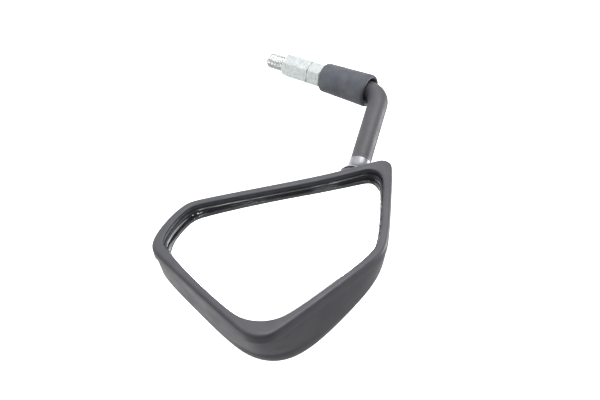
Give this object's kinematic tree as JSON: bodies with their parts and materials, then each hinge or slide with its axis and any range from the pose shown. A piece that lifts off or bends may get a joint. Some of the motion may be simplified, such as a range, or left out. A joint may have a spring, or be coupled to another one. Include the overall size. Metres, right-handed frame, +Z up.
{
  "type": "motorcycle mirror",
  "caption": "Right-hand motorcycle mirror: hexagonal threaded stud, bent tube stem with a rubber sleeve, ball joint, and a deep moulded housing with a recessed convex glass.",
  "frame": {"origin": "on the stud's axis at its shoulder, where the adapter's hexagon seats on the handlebar perch", "axes": "as mounted: +Z up the stud's axis towards the stem, +X outboard along the arm, and the glass faces -Y, towards the rider"},
  "size_m": [0.2056, 0.0594, 0.1585],
  "materials": {
    "zinc_plate": "satin",
    "bare_thread": "satin",
    "bright_plate": "polished",
    "stem_paint": "satin",
    "sleeve_rubber": "matte",
    "liner_nylon": "matte",
    "cup_steel": "satin",
    "plug_plastic": "matte",
    "housing_plastic": "matte",
    "gloss_seal": "gloss",
    "silvered_glass": "polished",
    "pad_foam": "matte"
  },
  "bodies": {
    "adapter": {"stud_adapter": "zinc_plate"},
    "stem": {"threaded_rod": "bare_thread", "stem_tube": "stem_paint", "ball_stud": "bright_plate"},
    "nut": {"lock_nut": "zinc_plate"},
    "sleeve": {"rubber_sleeve": "sleeve_rubber"},
    "liner": {"ball_liner": "liner_nylon"},
    "cups": {"friction_cups": "cup_steel"},
    "head": {"housing_shell": "housing_plastic", "glass_seal": "gloss_seal", "mirror_glass": "silvered_glass", "foam_pad": "pad_foam", "carrier_plate": "plug_plastic", "carrier_screws": "zinc_plate", "socket_plug": "plug_plastic", "plug_lock_ring": "zinc_plate"}
  },
  "joints": [
    {"name": "stem_turn", "type": "hinge", "parent": "adapter", "child": "stem", "pos_m": [0, 0, 0], "axis": [0, 0, 1], "range_deg": [-90, 90]},
    {"name": "nut_turn", "type": "hinge", "parent": "stem", "child": "nut", "pos_m": [0, 0, 0.0253], "axis": [0, 0, 1], "range_deg": [-60, 60]},
    {"name": "sleeve_slide", "type": "slide", "parent": "stem", "child": "sleeve", "axis": [0, 0, -1], "range_m": [0, 0.021]},
    {"name": "head_pan", "type": "hinge", "parent": "stem", "child": "liner", "pos_m": [0.07047, 0, 0.09337], "axis": [-0.284, 0, 0.9588], "range_deg": [-12, 12]},
    {"name": "head_tilt", "type": "hinge", "parent": "liner", "child": "cups", "pos_m": [0.07047, 0, 0.09337], "axis": [0, 1, 0], "range_deg": [-12, 12]},
    {"name": "head_spin", "type": "hinge", "parent": "cups", "child": "head", "pos_m": [0.07047, 0, 0.09337], "axis": [0.9588, 0, 0.284], "range_deg": [-30, 30]}
  ]
}
